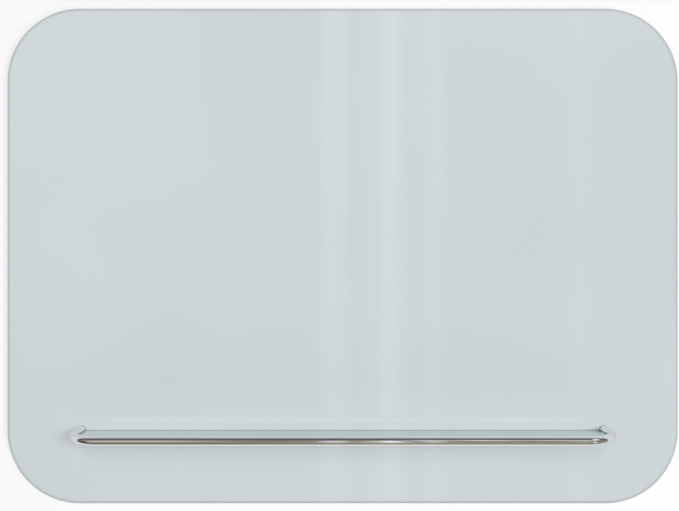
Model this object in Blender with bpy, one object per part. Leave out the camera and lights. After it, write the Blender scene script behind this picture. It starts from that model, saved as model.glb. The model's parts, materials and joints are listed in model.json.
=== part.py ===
# Magnetic glass whiteboard with a chromed pen rail, hung on hidden wall cleats.
# Metres, +Z up. The glass faces -Y and the wall is the plane Y = 0.
# The origin is the middle of the upper wall rail's back face, where the rail is screwed to the wall.
# "Out" below is a distance from the wall towards the room, so a point's Y is minus its out.

import bpy
import bmesh
from math import ceil, cos, pi, sin

# Clearance between pieces that touch
SEAT_GAP = 0.0003
# How far a cutter passes the face that it cuts
CUT_OVERRUN = 0.002

# Glass and steel of the board
BOARD_WIDTH = 1.219
BOARD_HEIGHT = 0.900
CORNER_RADIUS = 0.132
GLASS_THICKNESS = 0.006
STEEL_THICKNESS = 0.0006
STEEL_INSET = 0.012

# Upper rails and lower cleats, all of one aluminium hook section
HOOK_WALL = 0.0025
HOOK_DEPTH = 0.016
HOOK_CHANNEL = 0.007
HOOK_LIP_HEIGHT = 0.012
HOOK_ENGAGEMENT = 0.010
WALL_FLANGE_HEIGHT = 0.040
BOARD_FLANGE_HEIGHT = 0.030
UPPER_RAIL_FROM_BUMPER = 0.0785
UPPER_RAIL_BELOW_TOP = 0.110
LOWER_CLEAT_LENGTH = 0.150
LOWER_CLEAT_FROM_SIDE = 0.3095
LOWER_CLEAT_ABOVE_BOTTOM = 0.110
TAPE_THICKNESS = 0.001
TAPE_MARGIN = 0.002

# Levelling screws that stand on the wall rail's lip
LEVELLING_GAP = 0.0025
LEVELLING_SCREW_DIAMETER = 0.005
LEVELLING_SCREW_LENGTH = 0.016
LEVELLING_SCREW_CHAMFER = 0.0005
LEVELLING_SCREW_FROM_END = 0.015
LEVELLING_NUT_HEIGHT = 0.004
LEVELLING_NUT_ACROSS_FLATS = 0.008
LEVELLING_SOCKET_ACROSS_FLATS = 0.0025
LEVELLING_SOCKET_DEPTH = 0.003
LIP_SETBACK = 0.030

# Frame fixings: a nylon sleeve through the rail into the wall, and its screw
FIXING_PITCH_LIMIT = 0.300
FIXING_END_MARGIN_UPPER = 0.050
FIXING_END_MARGIN_LOWER = 0.025
SLEEVE_DIAMETER = 0.008
SLEEVE_BORE = 0.0054
SLEEVE_DEPTH_IN_WALL = 0.045
SLEEVE_COLLAR_DIAMETER = 0.013
SLEEVE_COLLAR_THICKNESS = 0.0015
SCREW_TIP_PAST_SLEEVE = 0.005
SCREW_HEAD_DIAMETER = 0.0095
SCREW_HEAD_HEIGHT = 0.0035
SCREW_HEAD_CHAMFER = 0.0012
SCREW_TIP_DIAMETER = 0.001
SCREW_SOCKET_ACROSS_FLATS = 0.004
SCREW_SOCKET_DEPTH = 0.002

# Rubber bumpers that keep the board's corners off the wall
BUMPER_DIAMETER = 0.022
BUMPER_NOSE_DIAMETER = 0.016
BUMPER_NOSE_HEIGHT = 0.003
BUMPER_FROM_SIDE = 0.070
BUMPER_FROM_END = 0.070

# Pen rail: one bent tube with a sheet shelf inside it
TUBE_DIAMETER = 0.017
TUBE_WALL = 0.002
RAIL_FROM_SIDE = 0.1345
RAIL_ABOVE_BOTTOM = 0.1345
RAIL_REACH = 0.080
RAIL_BEND_RADIUS = 0.055
SHELF_THICKNESS = 0.002
SHELF_DROP = 0.0005
SHELF_BEND_RADIUS = 0.003
SHELF_FLANGE_HEIGHT = 0.014
STRIP_THICKNESS = 0.001
STRIP_MARGIN = 0.001
STRIP_BELOW_SHELF = 0.0002

# Spigots that carry the pen rail, bolted through the glass
SPIGOT_FLANGE_THICKNESS = 0.0015
SPIGOT_LENGTH = 0.020
SPIGOT_NOSE = 0.001
GASKET_THICKNESS = 0.0006
GASKET_MARGIN = 0.0005
BOLT_DIAMETER = 0.006
BOLT_IN_SPIGOT = 0.012
BOLT_HEAD_HEIGHT = 0.004
BOLT_HEAD_ACROSS_FLATS = 0.010
BUSH_WALL = 0.0014
WASHER_DIAMETER = 0.018
WASHER_THICKNESS = 0.0016
GRUB_DIAMETER = 0.004
GRUB_PROUD = 0.0003
GRUB_FROM_TUBE_END = 0.010
GRUB_SOCKET_ACROSS_FLATS = 0.002
GRUB_SOCKET_DEPTH = 0.0012

# Names of a pair, as seen from the room
SIDES = ("left", "right")

# Counts of segments
CORNER_SEGMENTS = 20
EDGE_SEGMENTS = 6
ROUND_SIDES = 18
TUBE_SIDES = 24
TUBE_BEND_SEGMENTS = 12
SHELF_BEND_SEGMENTS = 4

# Places that follow from the sizes, as out distances from the wall
HOOK_LIP_OUT = HOOK_CHANNEL
TAPE_BACK = HOOK_DEPTH + SEAT_GAP
STEEL_BACK = TAPE_BACK + TAPE_THICKNESS + SEAT_GAP
GLASS_BACK = STEEL_BACK + STEEL_THICKNESS + SEAT_GAP
GLASS_FRONT = GLASS_BACK + GLASS_THICKNESS
GASKET_BACK = GLASS_FRONT + SEAT_GAP
SPIGOT_BACK = GASKET_BACK + GASKET_THICKNESS + SEAT_GAP
TUBE_BACK = SPIGOT_BACK + SPIGOT_FLANGE_THICKNESS + SEAT_GAP
RAIL_FRONT = GLASS_FRONT + RAIL_REACH
SHELF_BACK = GLASS_FRONT + SEAT_GAP + STRIP_THICKNESS + SEAT_GAP

# Heights that follow from the sizes
BOARD_TOP = UPPER_RAIL_BELOW_TOP
BOARD_CENTRE = BOARD_TOP - BOARD_HEIGHT / 2
BOARD_BOTTOM = BOARD_TOP - BOARD_HEIGHT
LOWER_CLEAT_HEIGHT = BOARD_BOTTOM + LOWER_CLEAT_ABOVE_BOTTOM
RAIL_HEIGHT = BOARD_BOTTOM + RAIL_ABOVE_BOTTOM
LIP_TOP = WALL_FLANGE_HEIGHT / 2 + HOOK_LIP_HEIGHT
HOOK_WEB_BOTTOM = LIP_TOP + LEVELLING_GAP

# Widths that follow from the sizes
BUMPER_SPACING = BOARD_WIDTH - 2 * BUMPER_FROM_SIDE
UPPER_RAIL_LENGTH = BUMPER_SPACING - BUMPER_DIAMETER - 2 * UPPER_RAIL_FROM_BUMPER
LOWER_CLEAT_SPACING = BOARD_WIDTH - 2 * LOWER_CLEAT_FROM_SIDE
RAIL_SPAN = BOARD_WIDTH - 2 * RAIL_FROM_SIDE

# Radii that follow from the sizes
TUBE_RADIUS = TUBE_DIAMETER / 2
TUBE_BORE_RADIUS = TUBE_RADIUS - TUBE_WALL
SPIGOT_RADIUS = TUBE_BORE_RADIUS - SEAT_GAP
BUSH_BORE_RADIUS = BOLT_DIAMETER / 2 + SEAT_GAP
BUSH_RADIUS = BUSH_BORE_RADIUS + BUSH_WALL
SCREW_RADIUS = SLEEVE_BORE / 2 - SEAT_GAP


def remove_scene_objects():
    """Empties the scene, so that the script can be run again."""
    for old in list(bpy.data.objects):
        bpy.data.objects.remove(old, do_unlink=True)


def plain_material(name, colour, roughness, metallic=0.0):
    """A Principled material with one colour, for telling the pieces apart."""
    result = bpy.data.materials.new(name)
    result.use_nodes = True
    shader = result.node_tree.nodes["Principled BSDF"]
    shader.inputs["Base Color"].default_value = (*colour, 1.0)
    shader.inputs["Roughness"].default_value = roughness
    shader.inputs["Metallic"].default_value = metallic
    result.diffuse_color = (*colour, 1.0)
    return result


def add_object(name, points, faces, material):
    """Makes one closed, outward-facing mesh object, shaded smooth between its sharp edges."""
    mesh = bpy.data.meshes.new(name)
    mesh.from_pydata(points, [], faces)
    build = bmesh.new()
    build.from_mesh(mesh)
    bmesh.ops.recalc_face_normals(build, faces=build.faces)
    build.to_mesh(mesh)
    build.free()
    mesh.shade_smooth()
    mesh.set_sharp_from_angle(angle=pi / 5)
    result = bpy.data.objects.new(name, mesh)
    bpy.context.scene.collection.objects.link(result)
    if material:
        mesh.materials.append(material)
    return result


def cut_from(target, name, points, faces):
    """Subtracts one hidden cutter, made of one or more closed shapes, from the target."""
    cutter = add_object(name, points, faces, None)
    cutter.hide_render = True
    cutter.display_type = "WIRE"
    cut = target.modifiers.new("cut", "BOOLEAN")
    cut.operation = "DIFFERENCE"
    cut.solver = "EXACT"
    cut.object = cutter


def gathered(shapes):
    """Joins several (points, faces) shapes into one list of points and one of faces."""
    points, faces = [], []
    for shape_points, shape_faces in shapes:
        start = len(points)
        points += shape_points
        faces += [[start + index for index in face] for face in shape_faces]
    return points, faces


def add_numbered(name, shapes, material):
    """Makes one object of each shape in a row of like pieces, numbered from 1."""
    for number, shape in enumerate(shapes, start=1):
        add_object(name + "_" + str(number), *shape, material)


def add_pair(name, shapes, material):
    """Makes the left and the right one of a pair of like pieces."""
    for side, shape in zip(SIDES, shapes):
        add_object(name + "_" + side, *shape, material)


def stacked_rings(rings, closed=False):
    """Walls between rings of equally many points, with flat ends, or closed into a loop of rings."""
    count = len(rings[0])
    points = [point for ring in rings for point in ring]
    faces = []
    for row in range(len(rings) if closed else len(rings) - 1):
        here, there = row * count, (row + 1) % len(rings) * count
        for step in range(count):
            following = (step + 1) % count
            faces.append([here + step, here + following, there + following, there + step])
    if not closed:
        faces.append(list(range(count)))
        faces.append(list(range(len(points) - count, len(points))))
    return points, faces


def circle_radius(angle):
    """Outline of a round piece, as the share of its radius at an angle."""
    return 1.0


def hexagon_radius(angle):
    """Outline of a hexagon, as the share of half its across-flats width at an angle."""
    sector = pi / 3
    return 1.0 / cos((angle + sector / 2) % sector - sector / 2)


def turned(profile, place, closed=False, sides=ROUND_SIDES):
    """A turned shape. Each profile row is radius, distance along the axis and outline, and place maps
    two cross distances and the distance along the axis to a point."""
    rings = []
    for radius, along, outline in profile:
        ring = []
        for step in range(sides):
            angle = 2 * pi * step / sides
            reach = radius * outline(angle)
            ring.append(place(reach * cos(angle), reach * sin(angle), along))
        rings.append(ring)
    return stacked_rings(rings, closed)


def across_wall(x, z):
    """Place function for an axis that runs out from the wall at x and z."""
    return lambda across, up, along: (x + across, -along, z + up)


def upright(x, out):
    """Place function for an upright axis at x and out."""
    return lambda across, back, along: (x + across, -out + back, along)


def rounded_rectangle(width, height, radius, out, centre):
    """Ring of points round a rectangle with round corners, parallel to the wall."""
    ring = []
    for corner, (side, level) in enumerate([(1, 1), (-1, 1), (-1, -1), (1, -1)]):
        for step in range(CORNER_SEGMENTS + 1):
            angle = pi / 2 * (corner + step / CORNER_SEGMENTS)
            x = side * (width / 2 - radius) + radius * cos(angle)
            z = centre + level * (height / 2 - radius) + radius * sin(angle)
            ring.append((x, -out, z))
    return ring


def section_along_x(section, start, end):
    """Extrudes a closed section of (out, height) points from x = start to x = end."""
    return stacked_rings([[(x, -out, z) for out, z in section] for x in (start, end)])


def block(x_low, x_high, out_low, out_high, z_low, z_high):
    """A box between two x, two out and two height limits."""
    section = [(out_low, z_low), (out_high, z_low), (out_high, z_high), (out_low, z_high)]
    return section_along_x(section, x_low, x_high)


def fixing_places(length, margin):
    """Places of the fixings along a rail, from one margin to the other, no further apart than the limit."""
    reach = length / 2 - margin
    gaps = ceil(2 * reach / FIXING_PITCH_LIMIT)
    return [-reach + 2 * reach * index / gaps for index in range(gaps + 1)]


def spigot_places():
    """The x of the left and right spigot."""
    return [-RAIL_SPAN / 2, RAIL_SPAN / 2]


def bolt_hole_cutters(out_low, out_high):
    """Cylinders for the two holes that the spigot bolts and their bushes pass through."""
    profile = [(BUSH_RADIUS + SEAT_GAP, out, circle_radius) for out in (out_low, out_high)]
    return gathered([turned(profile, across_wall(x, RAIL_HEIGHT)) for x in spigot_places()])


def make_glass(material):
    """Toughened pane with a round pencil edge, drilled for the pen rail."""
    edge = GLASS_THICKNESS / 2
    rings = []
    for step in range(EDGE_SEGMENTS + 1):
        angle = pi * step / EDGE_SEGMENTS - pi / 2
        inset = edge * (1 - cos(angle))
        out = GLASS_BACK + edge + edge * sin(angle)
        rings.append(rounded_rectangle(BOARD_WIDTH - 2 * inset, BOARD_HEIGHT - 2 * inset,
                                       CORNER_RADIUS - inset, out, BOARD_CENTRE))
    pane = add_object("glass_panel", *stacked_rings(rings), material)
    cut_from(pane, "glass_hole_cutter",
             *bolt_hole_cutters(GLASS_BACK - CUT_OVERRUN, GLASS_FRONT + CUT_OVERRUN))


def make_steel(material):
    """Steel sheet bonded behind the glass, which the magnets hold to."""
    rings = [rounded_rectangle(BOARD_WIDTH - 2 * STEEL_INSET, BOARD_HEIGHT - 2 * STEEL_INSET,
                               CORNER_RADIUS - STEEL_INSET, out, BOARD_CENTRE)
             for out in (STEEL_BACK, STEEL_BACK + STEEL_THICKNESS)]
    sheet = add_object("steel_sheet", *stacked_rings(rings), material)
    cut_from(sheet, "steel_hole_cutter",
             *bolt_hole_cutters(STEEL_BACK - CUT_OVERRUN, STEEL_BACK + STEEL_THICKNESS + CUT_OVERRUN))


def wall_hook_section(height):
    """Wall half of the hook: a flange on the wall, a step out and an upturned lip."""
    half = WALL_FLANGE_HEIGHT / 2
    lip_out = HOOK_LIP_OUT + HOOK_WALL
    return [(0.0, height - half), (HOOK_WALL, height - half), (HOOK_WALL, height + half - HOOK_WALL),
            (lip_out, height + half - HOOK_WALL), (lip_out, height + LIP_TOP),
            (HOOK_LIP_OUT, height + LIP_TOP), (HOOK_LIP_OUT, height + half), (0.0, height + half)]


def board_hook_section(height):
    """Board half of the hook: a lip hanging behind the wall's lip, a web and a flange on the board."""
    lip_front = HOOK_LIP_OUT - SEAT_GAP
    lip_back = lip_front - HOOK_WALL
    lip_bottom = height + LIP_TOP - HOOK_ENGAGEMENT
    web_bottom = height + HOOK_WEB_BOTTOM
    web_top = web_bottom + HOOK_WALL
    flange_back = HOOK_DEPTH - HOOK_WALL
    return [(lip_back, lip_bottom), (lip_front, lip_bottom), (lip_front, web_bottom),
            (HOOK_DEPTH, web_bottom), (HOOK_DEPTH, web_bottom + BOARD_FLANGE_HEIGHT),
            (flange_back, web_bottom + BOARD_FLANGE_HEIGHT), (flange_back, web_top), (lip_back, web_top)]


def fixing_hole_cutters(places, height):
    """Cylinders for the holes that the frame fixings pass through."""
    radius = SLEEVE_DIAMETER / 2 + SEAT_GAP
    profile = [(radius, out, circle_radius) for out in (-CUT_OVERRUN, HOOK_WALL + CUT_OVERRUN)]
    return gathered([turned(profile, across_wall(x, height)) for x in places])


def make_wall_hook(name, centre, length, height, places, material):
    """One wall rail or cleat with its fixing holes."""
    section = wall_hook_section(height)
    hook = add_object(name, *section_along_x(section, centre - length / 2, centre + length / 2), material)
    cut_from(hook, name + "_cutter", *fixing_hole_cutters(places, height))


def make_board_hook(name, centre, length, height, material):
    """One board rail or cleat, without holes."""
    section = board_hook_section(height)
    return add_object(name, *section_along_x(section, centre - length / 2, centre + length / 2), material)


def make_hook_tape(name, centre, length, height, material):
    """Foam tape that bonds a board rail or cleat to the steel sheet."""
    web_bottom = height + HOOK_WEB_BOTTOM
    shape = block(centre - length / 2 + TAPE_MARGIN, centre + length / 2 - TAPE_MARGIN,
                  TAPE_BACK, TAPE_BACK + TAPE_THICKNESS,
                  web_bottom + TAPE_MARGIN, web_bottom + BOARD_FLANGE_HEIGHT - TAPE_MARGIN)
    add_object(name, *shape, material)


def levelling_places():
    """The x of the left and right levelling screw, near the ends of the board rail."""
    reach = UPPER_RAIL_LENGTH / 2 - LEVELLING_SCREW_FROM_END
    return [-reach, reach]


def levelling_screw_out():
    """The levelling screws stand on the middle of the wall rail's lip."""
    return HOOK_LIP_OUT + HOOK_WALL / 2


def relieve_board_rail(rail):
    """Cuts the hanging lip back at both ends and drills the web for the levelling screws."""
    end = UPPER_RAIL_LENGTH / 2
    lip_low = LIP_TOP - HOOK_ENGAGEMENT - CUT_OVERRUN
    lip_out = HOOK_LIP_OUT + SEAT_GAP
    radius = LEVELLING_SCREW_DIAMETER / 2 + SEAT_GAP
    holes = [(radius, z, circle_radius)
             for z in (HOOK_WEB_BOTTOM - CUT_OVERRUN, HOOK_WEB_BOTTOM + HOOK_WALL + CUT_OVERRUN)]
    notches = gathered([block(low, high, 0.0, lip_out, lip_low, HOOK_WEB_BOTTOM)
                        for low, high in ((-end - CUT_OVERRUN, -end + LIP_SETBACK),
                                          (end - LIP_SETBACK, end + CUT_OVERRUN))])
    drilled = gathered([turned(holes, upright(x, levelling_screw_out())) for x in levelling_places()])
    cut_from(rail, "board_rail_notch_cutter", *notches)
    cut_from(rail, "board_rail_hole_cutter", *drilled)


def make_levelling_screws(material):
    """Two socket set screws, each on its own upright axis, standing on the wall rail's lip."""
    radius = LEVELLING_SCREW_DIAMETER / 2
    socket = LEVELLING_SOCKET_ACROSS_FLATS / 2
    foot = LIP_TOP + SEAT_GAP
    head = foot + LEVELLING_SCREW_LENGTH
    floor = head - LEVELLING_SOCKET_DEPTH
    profile = [(radius - LEVELLING_SCREW_CHAMFER, foot, circle_radius),
               (radius, foot + LEVELLING_SCREW_CHAMFER, circle_radius), (radius, head, circle_radius),
               (socket, head, hexagon_radius), (socket, floor, hexagon_radius)]
    for side, x in zip(SIDES, levelling_places()):
        shape = turned(profile, upright(0.0, 0.0))
        screw = add_object("levelling_screw_" + side, *shape, material)
        screw.location = (x, -levelling_screw_out(), 0.0)


def make_levelling_nuts(material):
    """Lock nuts of the levelling screws, on top of the board rail's web."""
    bore = LEVELLING_SCREW_DIAMETER / 2 + SEAT_GAP
    outside = LEVELLING_NUT_ACROSS_FLATS / 2
    low = HOOK_WEB_BOTTOM + HOOK_WALL + SEAT_GAP
    high = low + LEVELLING_NUT_HEIGHT
    profile = [(bore, low, circle_radius), (outside, low, hexagon_radius),
               (outside, high, hexagon_radius), (bore, high, circle_radius)]
    nuts = [turned(profile, upright(x, levelling_screw_out()), closed=True) for x in levelling_places()]
    add_pair("levelling_nut", nuts, material)


def sleeve_profile():
    """Nylon sleeve: a collar on the rail's front and a tube into the wall."""
    bore, radius, collar = SLEEVE_BORE / 2, SLEEVE_DIAMETER / 2, SLEEVE_COLLAR_DIAMETER / 2
    collar_back = HOOK_WALL + SEAT_GAP
    collar_front = collar_back + SLEEVE_COLLAR_THICKNESS
    rows = [(bore, -SLEEVE_DEPTH_IN_WALL), (radius, -SLEEVE_DEPTH_IN_WALL), (radius, collar_back),
            (collar, collar_back), (collar, collar_front), (bore, collar_front)]
    return [(reach, out, circle_radius) for reach, out in rows]


def fixing_screw_profile():
    """Screw with a pan head and a hexagon socket, pointed at its far end."""
    head_back = HOOK_WALL + SEAT_GAP + SLEEVE_COLLAR_THICKNESS + SEAT_GAP
    head_front = head_back + SCREW_HEAD_HEIGHT
    head, socket = SCREW_HEAD_DIAMETER / 2, SCREW_SOCKET_ACROSS_FLATS / 2
    tip = -SLEEVE_DEPTH_IN_WALL - SCREW_TIP_PAST_SLEEVE
    return [(SCREW_TIP_DIAMETER / 2, tip, circle_radius),
            (SCREW_RADIUS, -SLEEVE_DEPTH_IN_WALL, circle_radius),
            (SCREW_RADIUS, head_back, circle_radius), (head, head_back, circle_radius),
            (head, head_front - SCREW_HEAD_CHAMFER, circle_radius),
            (head - SCREW_HEAD_CHAMFER, head_front, circle_radius),
            (socket, head_front, hexagon_radius),
            (socket, head_front - SCREW_SOCKET_DEPTH, hexagon_radius)]


def make_fixings(kind, places, nylon, steel):
    """Sleeves and screws at a list of (x, height) places."""
    sleeves = [turned(sleeve_profile(), across_wall(x, z), closed=True) for x, z in places]
    screws = [turned(fixing_screw_profile(), across_wall(x, z)) for x, z in places]
    add_numbered(kind + "_sleeve", sleeves, nylon)
    add_numbered(kind + "_screw", screws, steel)


def make_bumpers(material):
    """Four rubber bumpers between the steel sheet and the wall, one near each corner."""
    base, nose = BUMPER_DIAMETER / 2, BUMPER_NOSE_DIAMETER / 2
    back, front = SEAT_GAP, STEEL_BACK - SEAT_GAP
    profile = [(nose, back, circle_radius), (base, back + BUMPER_NOSE_HEIGHT, circle_radius),
               (base, front, circle_radius)]
    x = BUMPER_SPACING / 2
    for level, z in (("upper", BOARD_TOP - BUMPER_FROM_END), ("lower", BOARD_BOTTOM + BUMPER_FROM_END)):
        pair = [turned(profile, across_wall(place, z)) for place in (-x, x)]
        add_pair(level + "_bumper", pair, material)


def make_spigots(material):
    """Two turned pegs with a flange on the glass, each tapped from behind for its bolt."""
    hole = BOLT_DIAMETER / 2 + SEAT_GAP
    flange_front = SPIGOT_BACK + SPIGOT_FLANGE_THICKNESS
    tip = flange_front + SPIGOT_LENGTH
    hole_end = SPIGOT_BACK + BOLT_IN_SPIGOT + CUT_OVERRUN
    rows = [(hole, hole_end), (hole, SPIGOT_BACK), (TUBE_RADIUS, SPIGOT_BACK), (TUBE_RADIUS, flange_front),
            (SPIGOT_RADIUS, flange_front), (SPIGOT_RADIUS, tip - SPIGOT_NOSE),
            (SPIGOT_RADIUS - SPIGOT_NOSE, tip)]
    profile = [(radius, out, circle_radius) for radius, out in rows]
    spigots = [turned(profile, across_wall(x, RAIL_HEIGHT)) for x in spigot_places()]
    add_pair("rail_spigot", spigots, material)


def make_rings(name, inner, outer, back, front, material):
    """One flat ring at each spigot, between two out distances."""
    profile = [(inner, back, circle_radius), (outer, back, circle_radius),
               (outer, front, circle_radius), (inner, front, circle_radius)]
    rings = [turned(profile, across_wall(x, RAIL_HEIGHT), closed=True) for x in spigot_places()]
    add_pair(name, rings, material)


def make_spigot_bolts(material):
    """Hexagon bolts from behind, through washer, bush and gasket into the spigots."""
    radius, head = BOLT_DIAMETER / 2, BOLT_HEAD_ACROSS_FLATS / 2
    seat = STEEL_BACK - SEAT_GAP - WASHER_THICKNESS - SEAT_GAP
    rows = [(head, seat - BOLT_HEAD_HEIGHT, hexagon_radius), (head, seat, hexagon_radius),
            (radius, seat, circle_radius), (radius, SPIGOT_BACK + BOLT_IN_SPIGOT, circle_radius)]
    bolts = [turned(rows, across_wall(x, RAIL_HEIGHT)) for x in spigot_places()]
    add_pair("spigot_bolt", bolts, material)


def rail_path():
    """Centreline of the pen rail as (x, out, outward x, outward out): arm, bend, front, bend, arm."""
    bend_x = RAIL_SPAN / 2 - RAIL_BEND_RADIUS
    bend_out = RAIL_FRONT - RAIL_BEND_RADIUS
    path = [(RAIL_SPAN / 2, TUBE_BACK, 1.0, 0.0)]
    for side in (1, -1):
        for step in range(TUBE_BEND_SEGMENTS + 1):
            turn = pi / 2 * step / TUBE_BEND_SEGMENTS
            angle = turn if side > 0 else pi / 2 + turn
            path.append((side * bend_x + RAIL_BEND_RADIUS * cos(angle),
                         bend_out + RAIL_BEND_RADIUS * sin(angle), cos(angle), sin(angle)))
    path.append((-RAIL_SPAN / 2, TUBE_BACK, -1.0, 0.0))
    return path


def tube_ring(x, out, outward_x, outward_out, radius):
    """Circle round one point of the rail's centreline, square to it."""
    ring = []
    for step in range(TUBE_SIDES):
        angle = 2 * pi * step / TUBE_SIDES
        reach = radius * cos(angle)
        ring.append((x + reach * outward_x, -(out + reach * outward_out), RAIL_HEIGHT + radius * sin(angle)))
    return ring


def make_tube(material):
    """The bent tube: outer skin one way, bore the other way, closed at both ends."""
    path = rail_path()
    outside = [tube_ring(*place, TUBE_RADIUS) for place in path]
    inside = [tube_ring(*place, TUBE_BORE_RADIUS) for place in reversed(path)]
    tube = add_object("pen_rail_tube", *stacked_rings(outside + inside, closed=True), material)
    radius = GRUB_DIAMETER / 2 + SEAT_GAP
    profile = [(radius, RAIL_HEIGHT - TUBE_RADIUS - CUT_OVERRUN, circle_radius),
               (radius, RAIL_HEIGHT - TUBE_BORE_RADIUS / 2, circle_radius)]
    holes = [turned(profile, upright(x, grub_screw_out())) for x in spigot_places()]
    cut_from(tube, "pen_rail_tube_cutter", *gathered(holes))


def grub_screw_out():
    """The grub screws bear on the spigots a little way in from the tube's ends."""
    return TUBE_BACK + GRUB_FROM_TUBE_END


def make_grub_screws(material):
    """Set screws under the rail's arms, which lock the tube on its spigots."""
    radius, socket = GRUB_DIAMETER / 2, GRUB_SOCKET_ACROSS_FLATS / 2
    top = RAIL_HEIGHT - SPIGOT_RADIUS - SEAT_GAP
    low = RAIL_HEIGHT - TUBE_RADIUS - GRUB_PROUD
    profile = [(radius, top, circle_radius), (radius, low, circle_radius), (socket, low, hexagon_radius),
               (socket, low + GRUB_SOCKET_DEPTH, hexagon_radius)]
    screws = [turned(profile, upright(x, grub_screw_out())) for x in spigot_places()]
    add_pair("grub_screw", screws, material)


def shelf_section(front):
    """Section of the folded shelf, from the flange on the glass, round the fold, to its front edge."""
    top = RAIL_HEIGHT - SHELF_DROP
    centre_out, centre_z = SHELF_BACK + SHELF_BEND_RADIUS, top - SHELF_BEND_RADIUS
    inner = SHELF_BEND_RADIUS - SHELF_THICKNESS
    low = top - SHELF_FLANGE_HEIGHT
    turns = [pi / 2 * step / SHELF_BEND_SEGMENTS for step in range(SHELF_BEND_SEGMENTS + 1)]
    outer_fold = [(centre_out - SHELF_BEND_RADIUS * cos(turn), centre_z + SHELF_BEND_RADIUS * sin(turn))
                  for turn in turns]
    inner_fold = [(centre_out - inner * cos(turn), centre_z + inner * sin(turn)) for turn in reversed(turns)]
    return ([(SHELF_BACK, low)] + outer_fold + [(front, top), (front, top - SHELF_THICKNESS)]
            + inner_fold + [(SHELF_BACK + SHELF_THICKNESS, low)])


def make_shelf(material):
    """Folded sheet that fills the inside of the tube, with round front corners along its bends."""
    radius = RAIL_BEND_RADIUS - TUBE_RADIUS - SEAT_GAP
    corner_x = RAIL_SPAN / 2 - RAIL_BEND_RADIUS
    corner_out = RAIL_FRONT - RAIL_BEND_RADIUS
    quarter = [pi / 2 * step / TUBE_BEND_SEGMENTS for step in range(TUBE_BEND_SEGMENTS + 1)]
    right = [(corner_x + radius * cos(turn), corner_out + radius * sin(turn)) for turn in quarter]
    stations = right + [(-x, front) for x, front in reversed(right)]
    rings = [[(x, -out, z) for out, z in shelf_section(front)] for x, front in stations]
    add_object("pen_shelf", *stacked_rings(rings), material)


def make_strip(material):
    """Soft strip between the shelf's folded flange and the glass."""
    half = RAIL_SPAN / 2 - TUBE_RADIUS - SEAT_GAP - STRIP_MARGIN
    top = RAIL_HEIGHT - SHELF_DROP - STRIP_BELOW_SHELF
    low = RAIL_HEIGHT - SHELF_DROP - SHELF_FLANGE_HEIGHT + STRIP_MARGIN
    back = GLASS_FRONT + SEAT_GAP
    add_object("shelf_edge_strip", *block(-half, half, back, back + STRIP_THICKNESS, low, top), material)


def make_wall_side(aluminium, nylon, zinc):
    """Everything that stays on the wall when the board is lifted off."""
    upper = fixing_places(UPPER_RAIL_LENGTH, FIXING_END_MARGIN_UPPER)
    make_wall_hook("wall_rail", 0.0, UPPER_RAIL_LENGTH, 0.0, upper, aluminium)
    make_fixings("wall_rail", [(x, 0.0) for x in upper], nylon, zinc)
    lower = []
    for side, sign in zip(SIDES, (-1, 1)):
        centre = sign * LOWER_CLEAT_SPACING / 2
        places = [centre + x for x in fixing_places(LOWER_CLEAT_LENGTH, FIXING_END_MARGIN_LOWER)]
        make_wall_hook("lower_wall_cleat_" + side, centre, LOWER_CLEAT_LENGTH, LOWER_CLEAT_HEIGHT,
                       places, aluminium)
        lower += [(x, LOWER_CLEAT_HEIGHT) for x in places]
    make_fixings("lower_cleat", lower, nylon, zinc)


def make_board_side(aluminium, foam, rubber, zinc):
    """Hooks, tapes, bumpers and levelling gear on the back of the board."""
    relieve_board_rail(make_board_hook("board_rail", 0.0, UPPER_RAIL_LENGTH, 0.0, aluminium))
    make_hook_tape("board_rail_tape", 0.0, UPPER_RAIL_LENGTH, 0.0, foam)
    for side, sign in zip(SIDES, (-1, 1)):
        centre = sign * LOWER_CLEAT_SPACING / 2
        make_board_hook("lower_board_cleat_" + side, centre, LOWER_CLEAT_LENGTH, LOWER_CLEAT_HEIGHT,
                        aluminium)
        make_hook_tape("lower_cleat_tape_" + side, centre, LOWER_CLEAT_LENGTH, LOWER_CLEAT_HEIGHT, foam)
    make_levelling_screws(zinc)
    make_levelling_nuts(zinc)
    make_bumpers(rubber)


def make_rail_mounting(stainless, nylon, clear, zinc):
    """Spigots with their gaskets, bushes, washers and bolts."""
    make_spigots(stainless)
    make_rings("spigot_gasket", BUSH_BORE_RADIUS, TUBE_RADIUS - GASKET_MARGIN, GASKET_BACK,
               GASKET_BACK + GASKET_THICKNESS, clear)
    make_rings("glass_hole_bush", BUSH_BORE_RADIUS, BUSH_RADIUS, STEEL_BACK, GLASS_FRONT, nylon)
    washer_back = STEEL_BACK - SEAT_GAP - WASHER_THICKNESS
    make_rings("spigot_washer", BUSH_BORE_RADIUS, WASHER_DIAMETER / 2, washer_back,
               washer_back + WASHER_THICKNESS, zinc)
    make_spigot_bolts(zinc)


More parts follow.
